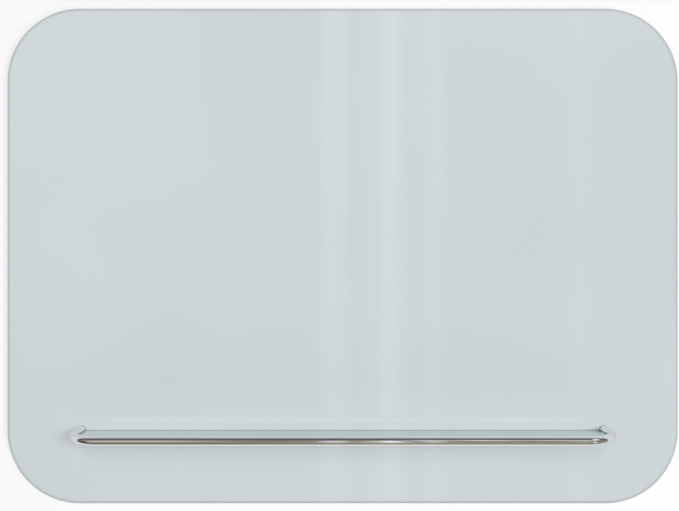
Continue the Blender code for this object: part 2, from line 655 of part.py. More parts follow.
def main():
    remove_scene_objects()
    painted_glass = plain_material("back_painted_glass", (0.62, 0.69, 0.71), 0.05)
    galvanised = plain_material("galvanised_steel", (0.55, 0.56, 0.57), 0.45, 1.0)
    aluminium = plain_material("extruded_aluminium", (0.78, 0.79, 0.80), 0.35, 1.0)
    foam = plain_material("acrylic_foam_tape", (0.16, 0.16, 0.17), 0.8)
    rubber = plain_material("moulded_rubber", (0.05, 0.05, 0.05), 0.7)
    nylon = plain_material("moulded_nylon", (0.60, 0.60, 0.58), 0.5)
    clear = plain_material("soft_clear_vinyl", (0.70, 0.72, 0.72), 0.3)
    zinc = plain_material("zinc_plated_steel", (0.62, 0.63, 0.65), 0.3, 1.0)
    stainless = plain_material("turned_stainless_steel", (0.60, 0.60, 0.60), 0.25, 1.0)
    chrome = plain_material("chromed_steel_tube", (0.80, 0.82, 0.84), 0.06, 1.0)
    polished = plain_material("polished_stainless_sheet", (0.68, 0.72, 0.74), 0.12, 1.0)
    make_glass(painted_glass)
    make_steel(galvanised)
    make_wall_side(aluminium, nylon, zinc)
    make_board_side(aluminium, foam, rubber, zinc)
    make_rail_mounting(stainless, nylon, clear, zinc)
    make_tube(chrome)
    make_shelf(polished)
    make_strip(clear)
    make_grub_screws(stainless)


main()
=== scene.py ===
# %% [markdown]
# # Finishing a magnetic glass whiteboard
# The board is a pane of toughened glass with paint on its back, bonded to a thin steel sheet that magnets
# hold to. Hidden aluminium hooks carry it, and a chromed pen rail crosses its lower part.
# The engineered model is loaded first as a fixed frame. Each of its pieces is then stood for by a finer
# surface in the same place, with the finish of the real material.

# %% Load the frame
import json
from math import acos, cos, pi, radians, sin, tan

import bmesh
import bpy
import numpy as np
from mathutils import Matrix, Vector
from mathutils.geometry import tessellate_polygon


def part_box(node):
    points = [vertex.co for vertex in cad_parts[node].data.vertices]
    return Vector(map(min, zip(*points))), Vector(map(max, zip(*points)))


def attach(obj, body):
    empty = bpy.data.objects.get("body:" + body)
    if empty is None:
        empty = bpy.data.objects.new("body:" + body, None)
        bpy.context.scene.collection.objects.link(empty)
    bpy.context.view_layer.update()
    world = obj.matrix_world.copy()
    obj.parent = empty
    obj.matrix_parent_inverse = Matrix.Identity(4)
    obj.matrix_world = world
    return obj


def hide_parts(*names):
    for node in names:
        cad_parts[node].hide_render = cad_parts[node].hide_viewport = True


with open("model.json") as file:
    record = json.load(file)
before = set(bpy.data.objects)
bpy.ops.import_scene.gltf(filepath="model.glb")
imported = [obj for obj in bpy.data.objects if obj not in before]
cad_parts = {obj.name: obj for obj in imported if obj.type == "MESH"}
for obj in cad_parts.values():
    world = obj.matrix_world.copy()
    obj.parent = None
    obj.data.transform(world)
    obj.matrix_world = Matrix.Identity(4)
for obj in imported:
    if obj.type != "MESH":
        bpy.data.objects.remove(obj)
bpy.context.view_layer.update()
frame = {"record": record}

MM = 0.001

# %% [markdown]
# ## Places from the frame
# A fine piece has to sit exactly where the engineered one is, so its place comes from that node's box.
# "Out" is the distance from the wall towards the room, so y is minus out.

# %% Measure the nodes
class Box:
    """Limits of one node in metres: left, right, back and front as out distances, low and high."""

    def __init__(self, node):
        self.node = node
        low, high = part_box(node)
        self.left, self.right = low.x, high.x
        self.back, self.front = -high.y, -low.y
        self.low, self.high = low.z, high.z
        self.x, self.z = (low.x + high.x) / 2, (low.z + high.z) / 2
        self.out = (self.back + self.front) / 2
        self.width, self.depth, self.height = high.x - low.x, high.y - low.y, high.z - low.z


bodies_of_nodes = {node: body for body, nodes in frame["record"]["behaviour"]["bodies"].items()
                   for node in nodes}
slots_of_nodes = {part["node"]: part["material_slot"] for part in frame["record"]["subparts"]}
glass = Box("glass_panel")
print("glass: %.0f x %.0f x %.1f mm" % (glass.width / MM, glass.height / MM, glass.depth / MM))

# %% [markdown]
# ## From numbers to a mesh
# Nearly every piece here is a grid: rows of points carried along a path, or turned round an axis. One
# function joins such a grid into quads. Where a ring shrinks to a point its copies are merged, so that the
# pole is closed, and the faces are then turned outwards.

# %% Join grids
SHARP_ANGLE = radians(35)
MERGE_DISTANCE = 0.001 * MM


def grid_quads(rows, columns, wrap_rows=False):
    """Quads between neighbouring points of a grid whose columns close into a loop."""
    row = np.arange(rows if wrap_rows else rows - 1)[:, None]
    column = np.arange(columns)[None, :]
    next_row, next_column = (row + 1) % rows, (column + 1) % columns
    corners = np.broadcast_arrays(row * columns + column, row * columns + next_column,
                                  next_row * columns + next_column, next_row * columns + column)
    return np.stack(corners, axis=-1).reshape(-1, 4)


def grid_mesh(grid, wrap_rows=False):
    """Closed mesh of a grid of shape (rows, columns, 3), with a flat cap on each end unless its rows wrap."""
    rows, columns = grid.shape[:2]
    faces = grid_quads(rows, columns, wrap_rows).tolist()
    if not wrap_rows:
        faces += [list(range(columns)), list(range((rows - 1) * columns, rows * columns))]
    return closed_mesh(grid.reshape(-1, 3), faces)


def closed_mesh(points, faces):
    """Smooth mesh with its doubled points merged and its faces outwards."""
    mesh = bpy.data.meshes.new("closed")
    mesh.from_pydata(points.tolist(), [], faces)
    build = bmesh.new()
    build.from_mesh(mesh)
    bmesh.ops.remove_doubles(build, verts=build.verts, dist=MERGE_DISTANCE)
    bmesh.ops.recalc_face_normals(build, faces=build.faces)
    build.to_mesh(mesh)
    build.free()
    return smooth(mesh)


def smooth(mesh):
    """Mesh that is shaded smooth between its sharp edges."""
    mesh.shade_smooth()
    mesh.set_sharp_from_angle(angle=SHARP_ANGLE)
    return mesh


print("a grid of 3 rows and 4 columns has", len(grid_quads(3, 4)), "quads round it")

# %% Put pieces in place
def new_object(name, data):
    """Object with the given data, linked to the scene."""
    thing = bpy.data.objects.new(name, data)
    bpy.context.scene.collection.objects.link(thing)
    return thing


def dress(box, mesh, cutters=()):
    """Puts a fine mesh in place of a box's node, on the same body and with the same finish. The cutters are
    meshes that are subtracted first."""
    piece = new_object(box.node + "_fine", mesh)
    if cutters:
        drill(piece, cutters)
    piece.data.name = piece.name
    piece.data.materials.clear()
    piece.data.materials.append(finish[slots_of_nodes[box.node]])
    weights = piece.modifiers.new("flat faces stay flat", "WEIGHTED_NORMAL")
    weights.keep_sharp = True
    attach(piece, bodies_of_nodes[box.node])
    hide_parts(box.node)


def drill(piece, cutters):
    """Cuts holes and notches with Boolean modifiers, and keeps the result as the piece's own mesh."""
    for cutter_mesh in cutters:
        cutter = new_object("cutter", cutter_mesh)
        cut = piece.modifiers.new("cut", "BOOLEAN")
        cut.solver = "EXACT"
        cut.object = cutter
        result = bpy.data.meshes.new_from_object(piece.evaluated_get(bpy.context.evaluated_depsgraph_get()))
        piece.modifiers.clear()
        piece.data = result
        bpy.data.objects.remove(cutter, do_unlink=True)
    smooth(piece.data)


print("pieces can ride on", ", ".join(sorted(set(bodies_of_nodes.values()))))

# %% [markdown]
# ## Rounded outlines
# Real edges are never knife sharp, and it is the small round at an edge that catches the light. An outline
# is given by its corners, and an arc that touches both sides takes each corner's place.

# %% Round corners
# Radians, so that nothing is divided by zero at a corner that is straight
LEAST_TURN = 0.000001


def rectangle(a0, a1, b0, b1):
    """Corners of the rectangle from (a0, b0) to (a1, b1)."""
    return [(a0, b0), (a1, b0), (a1, b1), (a0, b1)]


def rounded(corners, radii, steps=4, closed=True):
    """Outline through corners of shape (n, 2), each replaced by an arc. The arc starts and ends at
    radius / tan(half the corner's angle) from the corner, and its points are read at even turns. An outline
    that isn't closed keeps its first and last corner."""
    corners = np.asarray(corners, float)
    radii = np.broadcast_to(np.asarray(radii, float), len(corners)).copy()
    if not closed:
        radii[[0, -1]] = 0.0
    to_last = np.roll(corners, 1, axis=0) - corners
    to_next = np.roll(corners, -1, axis=0) - corners
    to_last /= np.linalg.norm(to_last, axis=1)[:, None]
    to_next /= np.linalg.norm(to_next, axis=1)[:, None]
    half = np.arccos(np.clip((to_last * to_next).sum(1), -1, 1)) / 2
    middle = to_last + to_next
    length = np.linalg.norm(middle, axis=1)[:, None]
    middle = middle / np.where(length > 0, length, 1)
    centres = corners + middle * (radii / np.sin(half))[:, None]
    start = corners + to_last * (radii / np.tan(half))[:, None] - centres
    end = corners + to_next * (radii / np.tan(half))[:, None] - centres
    turn = np.maximum(pi - 2 * half, LEAST_TURN)[:, None]
    share = np.linspace(0, 1, steps + 1)[None, :]
    from_start = (np.sin((1 - share) * turn) / np.sin(turn))[..., None] * start[:, None]
    from_end = (np.sin(share * turn) / np.sin(turn))[..., None] * end[:, None]
    points = (centres[:, None] + from_start + from_end).reshape(-1, 2)
    apart = np.linalg.norm(np.diff(points, axis=0), axis=1) > MERGE_DISTANCE
    return points[np.concatenate([[True], apart])]


def section_at(section, x):
    """Points of an (out, height) section that stands at x."""
    return np.insert(section * (-1, 1), 0, x, axis=1)


def prism(section, left, right):
    """Mesh of a closed (out, height) section carried along x from left to right."""
    return grid_mesh(np.stack([section_at(section, x) for x in (left, right)]))


def bar(box, radius):
    """Mesh of a straight bar along x that fills a box, with its long edges rounded."""
    corners = rectangle(box.back, box.front, box.low, box.high)
    return prism(rounded(corners, radius), box.left, box.right)


print("a square with round corners has", len(rounded(rectangle(0, 1, 0, 1), 0.1)), "points")

# %% [markdown]
# ## Turned shapes
# Screws, washers, bumpers and spigots are all turned: a profile of radius and distance along an axis, swept
# round it. A hexagon is the same sweep with the radius held inside six flats, which also gives the curved
# line where a nut's chamfer meets its flats. A thread is a ridge that climbs one pitch each turn.

# %% Turn profiles
ROUND_COLUMNS = 72
HOLE_COLUMNS = 48


def across_wall(box):
    """Place of a shape turned round an axis that runs out from the wall, through the middle of a box."""
    return lambda a, b, along: np.stack(np.broadcast_arrays(box.x + a, -along, box.z + b), axis=-1)


def upright(box):
    """Place of a shape turned round an upright axis through the middle of a box."""
    return lambda a, b, along: np.stack(np.broadcast_arrays(box.x + a, -box.out + b, along), axis=-1)


def turned(profile, place, ring=False, flats=None, cut=None, columns=ROUND_COLUMNS):
    """Mesh of a profile of shape (n, 2), radius and distance along, turned round the place's axis.
    flats gives each row a width across six flats, inside which its radius is held: flats / 2 / cos(angle from
    the flat's middle). cut is a function of along and angle that is taken from the radius."""
    profile = np.asarray(profile, float)
    radius, along = profile[:, :1], profile[:, 1:]
    angle = np.arange(columns) * 2 * pi / columns
    if flats is not None:
        limit = np.asarray(flats, float)[:, None] / 2 / np.cos((angle + pi / 6) % (pi / 3) - pi / 6)
        radius = np.minimum(radius, limit)
    if cut is not None:
        radius = radius - cut(along, angle)
    return grid_mesh(place(radius * np.cos(angle), radius * np.sin(angle), along), wrap_rows=ring)


def drill_bit(radius, low, high, place, columns=HOLE_COLUMNS):
    """Cylinder between two distances along its place's axis."""
    return turned(rectangle(0, radius, low, high), place, columns=columns)


def thread(pitch, depth, start, end):
    """Cut of a thread between two distances along. Its depth is a triangle wave of along / pitch minus the
    share of a turn, and it runs out over one pitch at each end."""
    def cut(along, angle):
        wave = np.abs(2 * ((along / pitch - angle / (2 * pi)) % 1) - 1)
        fade = np.clip(np.minimum(along - start, end - along) / pitch, 0, 1)
        return depth * wave * fade
    return cut


def with_rows(profile, start, end, spacing):
    """Profile with extra rows between two distances along, so that a thread has points to follow."""
    rows = []
    lowest, highest = min(start, end) - MERGE_DISTANCE, max(start, end) + MERGE_DISTANCE
    for (r0, a0), (r1, a1) in zip(profile[:-1], profile[1:]):
        inside = min(a0, a1) >= lowest and max(a0, a1) <= highest
        count = max(1, round(abs(a1 - a0) / spacing)) if inside else 1
        share = np.arange(count)[:, None] / count
        rows.append((1 - share) * [[r0, a0]] + share * [[r1, a1]])
    rows.append(profile[-1:])
    return np.concatenate(rows)


print("turned shapes have", ROUND_COLUMNS, "columns and holes have", HOLE_COLUMNS)

# %% [markdown]
# ## Colours and nodes
# Colours are picked as hex values, the way a paint chart gives them, and turned to the linear values that
# the renderer adds up. One function adds a node with its settings and its links. The others say what a
# finish needs: a pattern of a real size, a tone between two tones, and what a surface follows.

# %% Colours
def colour(hex_value):
    """Linear colour of an sRGB hex value."""
    share = np.array([int(hex_value[i:i + 2], 16) for i in (1, 3, 5)]) / 255
    linear = np.where(share <= 0.04045, share / 12.92, ((share + 0.055) / 1.055) ** 2.4)
    return (*linear.tolist(), 1.0)


print("mid grey #808080 is", round(colour("#808080")[0], 3), "linear")

# %% Nodes and patterns
# Sockets of a Mix node that mixes colours, by number, because their names repeat
MIX_FACTOR, MIX_A, MIX_B, MIX_RESULT = 0, 6, 7, 2
finish = {}


def connect(node, inputs):
    """Fills a node's inputs, by socket name or number, from values, outputs, or nodes' first outputs."""
    for socket, value in inputs.items():
        if isinstance(value, bpy.types.Node):
            value = value.outputs[0]
        if isinstance(value, bpy.types.NodeSocket):
            node.id_data.links.new(value, node.inputs[socket])
        else:
            node.inputs[socket].default_value = value


def add(tree, kind, inputs=(), **settings):
    """Adds one node with its settings and its inputs."""
    node = tree.nodes.new("ShaderNode" + kind)
    for name, value in settings.items():
        setattr(node, name, value)
    connect(node, dict(inputs))
    return node


def new_finish(name, base, roughness, metallic=0.0, **sockets):
    """Material with a Principled surface. Returns its node tree and its surface node."""
    material = bpy.data.materials.new(name)
    material.use_nodes = True
    surface = material.node_tree.nodes["Principled BSDF"]
    connect(surface, {"Base Color": colour(base), "Roughness": roughness, "Metallic": metallic, **sockets})
    finish[name] = material
    print("finish:", name.replace("_", " "))
    return material.node_tree, surface


def pattern(tree, size_mm, kind="TexNoise", output="Fac", **inputs):
    """Texture on Object coordinates whose features have the given size in millimetres along x, y and z."""
    place = add(tree, "TexCoord").outputs["Object"]
    scale = tuple(1 / (size * MM) for size in size_mm)
    scaled = add(tree, "Mapping", {"Vector": place, "Scale": scale})
    return add(tree, kind, {"Vector": scaled, "Scale": 1.0, **inputs}).outputs[output]


def between(value, low, high, from_low=0.3, from_high=0.7):
    """Number or colour that goes from low to high as a value goes from from_low to from_high, which is about
    where a noise pattern lies. Colours are hex values or outputs."""
    tree = value.id_data
    numbers = isinstance(low, (int, float))
    to_low, to_high = (low, high) if numbers else (0, 1)
    share = add(tree, "MapRange", {"Value": value, "From Min": from_low, "From Max": from_high,
                                   "To Min": to_low, "To Max": to_high})
    if numbers:
        return share
    ends = [colour(end) if isinstance(end, str) else end for end in (low, high)]
    mix = add(tree, "Mix", {MIX_FACTOR: share, MIX_A: ends[0], MIX_B: ends[1]}, data_type="RGBA")
    return mix.outputs[MIX_RESULT]


def follow(surface, tone=None, rough=None, height=None, depth_mm=0.0):
    """Lets a surface's colour and roughness follow patterns, and bumps it by a height from 0 to 1 over a real
    depth in millimetres."""
    if height is not None:
        height = add(surface.id_data, "Bump", {"Height": height, "Distance": depth_mm * MM})
    followed = {"Base Color": tone, "Roughness": rough, "Normal": height}
    connect(surface, {socket: value for socket, value in followed.items() if value is not None})


print("a pattern of 5 mm has a scale of", round(1 / (5 * MM)), "per metre")

# %% [markdown]
# ## Back-painted toughened glass
# The pale blue grey is paint on the back of clear glass. Soda-lime glass has an IOR of 1.52, so its polished
# face reflects about four parts in a hundred. The smooth back of the paint layer mirrors nearly as much
# again, so the specular level is twice its usual value. The ground and polished "pencil" edge has no paint
# behind it and looks darker. Its darker tone is also painted shade, deepened and carried 7 mm onto the flat
# front to stand in for the shade of the curved edge. A rim attribute on the mesh says how far round the edge
# a point is, and a paint attribute marks the dull back. Toughening leaves waves a hand's span long, far too
# shallow to see except in a reflection.

# %% Finish: back-painted glass
tree, surface = new_finish("back_painted_glass", "#D0D8DC", 0.02, IOR=1.52, **{"Specular IOR Level": 1.0})
rim, paint = (add(tree, "Attribute", attribute_name=name).outputs["Fac"] for name in ("rim", "paint"))
face_colour = between(pattern(tree, (260, 260, 260), Detail=1.0), "#CFD7DA", "#D1D9DC")
# The rim tone is the unpainted edge's own colour plus painted shade for the curved edge, fading over RIM_WIDTH
rim_tone_with_painted_shade = between(rim, face_colour, "#BAC1C3", 0, 0.62)
rough = add(tree, "Math", {0: between(rim, 0.02, 0.16, 0, 1), 1: between(paint, 0, 0.5, 0, 1)},
            operation="ADD")
follow(surface, between(paint, rim_tone_with_painted_shade, "#D3DADB", 0, 1), rough,
       pattern(tree, (220, 220, 300), Detail=0.0), 0.05)

# %% [markdown]
# ## Chrome and polished stainless
# Chrome plate is a mirror with a slightly cool tone, a little darker where it is seen at a grazing angle.
# What shows in it is the room, so its own pattern is only a trace of buffing that makes the reflection a
# little softer in places. The shelf is stainless sheet polished along its length: the grit leaves fine lines,
# drawn here 1.2 mm apart so that they show.

# %% Finish: chromed tube
tree, surface = new_finish("chromed_steel_tube", "#F6F7F9", 0.04, metallic=1.0,
                           **{"Specular Tint": (0.92, 0.92, 0.93, 1)})
follow(surface, rough=between(pattern(tree, (60, 14, 14), Detail=3.0), 0.03, 0.07),
       height=pattern(tree, (9, 9, 9), Detail=1.0), depth_mm=0.002)

# %% Finish: polished stainless sheet
tree, surface = new_finish("polished_stainless_sheet", "#D8DEDE", 0.12, metallic=1.0)
lines = pattern(tree, (180, 1.2, 1.2), Detail=3.0)
follow(surface, between(lines, "#D4DBDB", "#DCE2E3"), between(lines, 0.09, 0.17), lines, 0.004)

# %% [markdown]
# ## Metals behind the glass
# The magnet sheet is galvanised: zinc freezes on it in flat crystals a finger's width across, each a
# slightly different grey. Extruded aluminium carries fine lines from the die along its length. Zinc-plated
# screws have a bluish passivation with a faint straw tint, and the spigots keep the rings of the lathe.

# %% Finish: galvanised steel
tree, surface = new_finish("galvanised_steel", "#A9ACAF", 0.42, metallic=1.0)
crystal = pattern(tree, (13, 13, 13), "TexVoronoi", "Color")
shade = add(tree, "SeparateColor", {"Color": crystal})
frost = pattern(tree, (3, 3, 3), Detail=4.0)
crystal_colour = between(shade, "#9FA3A6", "#B6B9BB", 0, 1)
follow(surface, between(between(frost, 0, 0.35), crystal_colour, "#C6C8C9", 0, 1),
       between(shade, 0.37, 0.49, 0, 1), frost, 0.01)

# %% Finish: extruded aluminium
tree, surface = new_finish("extruded_aluminium", "#C9CBCD", 0.34, metallic=1.0)
die_lines = pattern(tree, (400, 0.7, 0.7), Detail=4.0)
follow(surface, between(die_lines, "#BFC1C4", "#D3D5D6"), between(die_lines, 0.26, 0.42), die_lines, 0.02)

# %% Finish: zinc-plated steel
tree, surface = new_finish("zinc_plated_steel", "#B9BCC2", 0.28, metallic=1.0)
follow(surface, between(pattern(tree, (4, 4, 4), Detail=2.0), "#B3BAC6", "#C7C3B2"),
       between(pattern(tree, (0.8, 0.8, 0.8), Detail=2.0), 0.2, 0.38))

# %% Finish: turned stainless steel
tree, surface = new_finish("turned_stainless_steel", "#C4C3C0", 0.24, metallic=1.0)
tool_marks = pattern(tree, (30, 0.35, 30), Detail=2.0)
follow(surface, between(tool_marks, "#B5B4B1", "#D0CFCC"), between(tool_marks, 0.18, 0.32), tool_marks, 0.01)

# %% [markdown]
# ## Rubber, nylon, foam and vinyl
# These are matt or waxy. Nylon is moulded and has a fine spark texture. The bumpers are dull black rubber.
# The bonding tape is closed-cell acrylic foam, whose cut sides show its cells. The strip and gaskets are
# soft vinyl, slightly milky, and light enters it. Its dark smoke grey is painted shade, so that the strip
# along the shelf stands in for the shadow in the gap between the shelf's fold and the glass.

# %% Finish: nylon, rubber, foam tape and vinyl
tree, surface = new_finish("moulded_nylon", "#CFCCC3", 0.48, **{"Subsurface Weight": 0.15})
texture = pattern(tree, (0.5, 0.5, 0.5), Detail=3.0)
follow(surface, between(texture, "#C9C6BD", "#D6D3CA"), height=texture, depth_mm=0.03)

tree, surface = new_finish("moulded_rubber", "#1E1E1F", 0.72)
texture = pattern(tree, (0.9, 0.9, 0.9), Detail=4.0)
follow(surface, between(texture, "#19191A", "#272728"), between(texture, 0.6, 0.82), texture, 0.03)

tree, surface = new_finish("acrylic_foam_tape", "#3B3B3D", 0.85)
cells = pattern(tree, (0.45, 0.45, 0.45), "TexVoronoi", "Distance")
follow(surface, between(cells, "#2D2D2F", "#48484A", 0, 0.8), height=cells, depth_mm=0.08)

# Painted shade: this dark grey lets the shelf's strip stand in for the shadow gap against the glass
tree, surface = new_finish("soft_clear_vinyl", "#8C9496", 0.22, **{"Subsurface Weight": 0.3})
haze = pattern(tree, (5, 5, 5), Detail=2.0)
follow(surface, between(haze, "#858D8F", "#949B9D"), between(haze, 0.16, 0.3))

# %% [markdown]
# ## Glass pane and steel sheet
# Both are flat plates with large round corners and two drilled holes. The outline is a rectangle with its
# corners rounded, and the edge is a profile of inset and depth that the outline follows. The two flat faces
# are filled between the outline and the holes. The glass has a pencil edge, a half circle as thick as the
# pane, and carries two attributes that its finish reads.

# %% Shape a plate
CORNER_RADIUS = 132 * MM
HOLE_RADIUS = 5 * MM
OUTLINE_STEPS = 40
EDGE_STEPS = 24
# How far the rim's darker tone, partly painted shade, reaches onto the flat front
RIM_WIDTH = 7 * MM
STEEL_EDGE = 0.15 * MM
# How far back a point of the pane lies, from -1 at its back to 1 at its front, to count as painted
PAINTED_BEHIND = -0.99
SIDES = ("left", "right")
spigots = [Box("rail_spigot_" + side) for side in SIDES]


def plate_outline(box, corner_radius, inset):
    """Rounded rectangle inside a box, as (x, z) points at the same places whatever the inset."""
    half_width, half_height = box.width / 2 - inset, box.height / 2 - inset
    corners = rectangle(half_width, -half_width, half_height, -half_height)
    return rounded(corners, corner_radius - inset, OUTLINE_STEPS) + (box.x, box.z)


def plate_mesh(box, corner_radius, edge):
    """Plate with two drilled holes. edge is (n, 2) of inset and out distance, from the back to the front."""
    outlines = np.stack([np.insert(plate_outline(box, corner_radius, inset), 1, -out, axis=1)
                         for inset, out in edge])
    rows, count = outlines.shape[:2]
    angle = np.arange(HOLE_COLUMNS) * 2 * pi / HOLE_COLUMNS
    holes = [across_wall(spigot)(HOLE_RADIUS * np.cos(angle), HOLE_RADIUS * np.sin(angle),
                                 np.array([[box.back], [box.front]])) for spigot in spigots]
    points = np.concatenate([outlines.reshape(-1, 3)] + [hole.reshape(-1, 3) for hole in holes])
    faces = grid_quads(rows, count).tolist()
    first_hole = rows * count
    for number in range(len(holes)):
        faces += (grid_quads(2, HOLE_COLUMNS) + first_hole + 2 * number * HOLE_COLUMNS).tolist()
    for side, row in ((0, 0), (1, rows - 1)):
        loops = [np.arange(row * count, (row + 1) * count)]
        loops += [np.arange(HOLE_COLUMNS) + first_hole + (2 * number + side) * HOLE_COLUMNS
                  for number in range(len(holes))]
        order = np.concatenate(loops)
        filled = tessellate_polygon([[Vector(points[index]) for index in loop] for loop in loops])
        faces += order[np.array(filled)].tolist()
    return closed_mesh(points, faces)


def pencil_edge(box):
    """Half circle as thick as the plate: inset r (1 - cos a), out r sin a from the middle. A last row on the
    flat front marks where the rim's darker tone, partly painted shade, has faded."""
    radius = box.depth / 2
    turn = np.linspace(-pi / 2, pi / 2, EDGE_STEPS + 1)
    arc = np.column_stack([radius * (1 - np.cos(turn)), box.out + radius * np.sin(turn)])
    return np.append(arc, [(RIM_WIDTH, box.front)], axis=0)


def inset_of(box, corner_radius, x, z):
    """Distance of points inside a rounded rectangle's outline, from how far they are past its corners'
    centres: radius - hypot(past x, past z) in a corner, radius - the larger one elsewhere."""
    past_x = np.abs(x - box.x) - box.width / 2 + corner_radius
    past_z = np.abs(z - box.z) - box.height / 2 + corner_radius
    beyond = np.hypot(np.maximum(past_x, 0), np.maximum(past_z, 0))
    return corner_radius - beyond - np.minimum(np.maximum(past_x, past_z), 0)


print("pencil edge:", len(pencil_edge(glass)), "rows")

# %% Make the plates
glass_mesh = plate_mesh(glass, CORNER_RADIUS, pencil_edge(glass))
places = np.zeros(len(glass_mesh.vertices) * 3)
glass_mesh.vertices.foreach_get("co", places)
out_share = (-places[1::3] - glass.out) / (glass.depth / 2)
inset = inset_of(glass, CORNER_RADIUS, places[0::3], places[2::3])
for name, values in (("rim", np.clip(1 - inset / RIM_WIDTH, 0, 1)), ("paint", out_share < PAINTED_BEHIND)):
    attribute = glass_mesh.attributes.new(name, "FLOAT", "POINT")
    attribute.data.foreach_set("value", values.astype(np.float32))
dress(glass, glass_mesh)

steel = Box("steel_sheet")
steel_edge = np.array([(STEEL_EDGE, steel.back), (0, steel.back + STEEL_EDGE),
                       (0, steel.front - STEEL_EDGE), (STEEL_EDGE, steel.front)])
steel_corner = CORNER_RADIUS - (steel.left - glass.left)
dress(steel, plate_mesh(steel, steel_corner, steel_edge))
print("glass:", len(glass_mesh.polygons), "faces; steel corner radius", round(steel_corner / MM, 1), "mm")

# %% [markdown]
# ## Pen rail tube
# One steel tube is bent into a wide U and chromed. Its surface is a circle carried along the centreline: an
# arm, a quarter turn, the long front, a quarter turn and the other arm. The bore runs back the same way, so
# the wall is a closed loop of rings. The saw leaves a square end whose edges are broken by a small chamfer.
# Under each arm a hole is drilled for a set screw.

# %% Make the tube
TUBE_WALL = 2 * MM
TUBE_COLUMNS = 96
BEND_STEPS = 40
BEND_RADIUS = 55 * MM
END_CHAMFER = 0.35 * MM
GRUB_CLEARANCE = 0.3 * MM
tube = Box("pen_rail_tube")
tube_radius = tube.height / 2
bore_radius = tube_radius - TUBE_WALL
arm_x = tube.right - tube_radius
bend_out = tube.front - tube_radius - BEND_RADIUS


def rail_centreline(first_out):
    """Rows of x, out and the outward direction's x and out along the rail. In a bend the point is the bend's
    centre plus the radius times (cos a, sin a), which is also its outward direction."""
    turn = np.linspace(0, pi / 2, BEND_STEPS + 1)
    outward = np.column_stack([np.cos(turn), np.sin(turn)])
    right = np.hstack([(arm_x - BEND_RADIUS, bend_out) + BEND_RADIUS * outward, outward])
    left = right[::-1] * (-1, 1, -1, 1)
    start = np.array([[arm_x, first_out, 1, 0]])
    return np.concatenate([start, right, left, start * (-1, 1, -1, 1)])


def rings_along(rows, radius):
    """Circles round the centreline: across the outward direction by cos a, and upright by sin a."""
    angle = np.arange(TUBE_COLUMNS) * 2 * pi / TUBE_COLUMNS
    reach = radius * np.cos(angle)
    x = rows[:, :1] + reach * rows[:, 2:3]
    out = rows[:, 1:2] + reach * rows[:, 3:4]
    height = tube.z + radius * np.sin(angle)
    return np.stack([x, -out, np.broadcast_to(height, x.shape)], axis=-1)


skin = rail_centreline(tube.back + END_CHAMFER)
ends = rail_centreline(tube.back)
first_end, last_end = ends[:1], ends[-1:]
outer_chamfer, inner_chamfer = tube_radius - END_CHAMFER, bore_radius + END_CHAMFER
rings = [rings_along(first_end, outer_chamfer), rings_along(skin, tube_radius),
         rings_along(last_end, outer_chamfer), rings_along(last_end, inner_chamfer),
         rings_along(skin[::-1], bore_radius), rings_along(first_end, inner_chamfer)]
grub_holes = []
for side in SIDES:
    grub = Box("grub_screw_" + side)
    grub_holes.append(drill_bit(grub.width / 2 + GRUB_CLEARANCE, tube.low - TUBE_WALL,
                                tube.z - bore_radius / 2, upright(grub), ROUND_COLUMNS))
dress(tube, grid_mesh(np.concatenate(rings), wrap_rows=True), grub_holes)
print("tube: %.0f mm wide, %.1f mm thick" % (tube.width / MM, tube.height / MM))

# %% [markdown]
# ## Pen shelf
# The shelf is a flat sheet that fills the U, with its back edge folded down against the glass. Its section
# is the same along the whole rail, except that the front edge follows the inside of the bends. So it is a
# section of (out, height) at many places along x, each with its own front. Its two ends are cut a little
# short of the arms, and the gap shows as a dark line beside each arm.

# %% Make the shelf and its soft strip
SHEET_THICKNESS = 2 * MM
FOLD_RADIUS = 3 * MM
FOLD_STEPS = 10
SHEET_EDGE = 0.4 * MM
END_CUT = 1.2 * MM
SOFT_EDGE = 0.35 * MM
shelf = Box("pen_shelf")


def shelf_section(front):
    """Outline of the folded sheet as (out, height), from the flange's foot round the fold to the front."""
    inside = FOLD_RADIUS - SHEET_THICKNESS
    top, back = shelf.high, shelf.back
    corners = [(back, shelf.low), (back, top), (front, top), (front, top - SHEET_THICKNESS),
               (back + SHEET_THICKNESS, top - SHEET_THICKNESS), (back + SHEET_THICKNESS, shelf.low)]
    return rounded(corners, [SHEET_EDGE, FOLD_RADIUS, SHEET_EDGE, SHEET_EDGE, inside, SHEET_EDGE], FOLD_STEPS)


inner_bend = shelf.right - (arm_x - BEND_RADIUS)
first_turn = acos(1 - END_CUT / inner_bend)
turn = np.linspace(first_turn, pi / 2, BEND_STEPS + 1)
right_half = np.column_stack([shelf.right - inner_bend + inner_bend * np.cos(turn),
                              bend_out + inner_bend * np.sin(turn)])
stations = np.concatenate([right_half, (right_half * (-1, 1))[::-1]])
dress(shelf, grid_mesh(np.stack([section_at(shelf_section(front), x) for x, front in stations])))
# The strip's dark grey finish is painted shade for the gap between the shelf and the glass
strip = Box("shelf_edge_strip")
dress(strip, bar(strip, SOFT_EDGE))
print("shelf: %.0f x %.0f mm" % (shelf.width / MM, shelf.depth / MM))

# %% [markdown]
# ## Hook rails and cleats
# Rails and cleats are cut from two aluminium extrusions that hook into each other. The wall half has a
# flange, a step out and a lip that points up. The board half is the same thing upside down, so one function
# makes both. Extrusion dies have no sharp corners, so each corner has a small radius. The holes are drilled
# afterwards, and the board rail's hanging lip is cut back at both ends, to make room for the levelling
# screws.

# %% Make the extrusions
HOOK_WALL = 2.5 * MM
HOOK_RADIUS = 0.5 * MM
WALL_FLANGE = 40 * MM
BOARD_FLANGE = 30 * MM
FIXING_HOLE_RADIUS = 4.3 * MM
LEVELLING_HOLE_RADIUS = 2.8 * MM
LIP_SETBACK = 30 * MM
NOTCH_CLEARANCE = 0.5 * MM
OVERRUN = 2 * MM


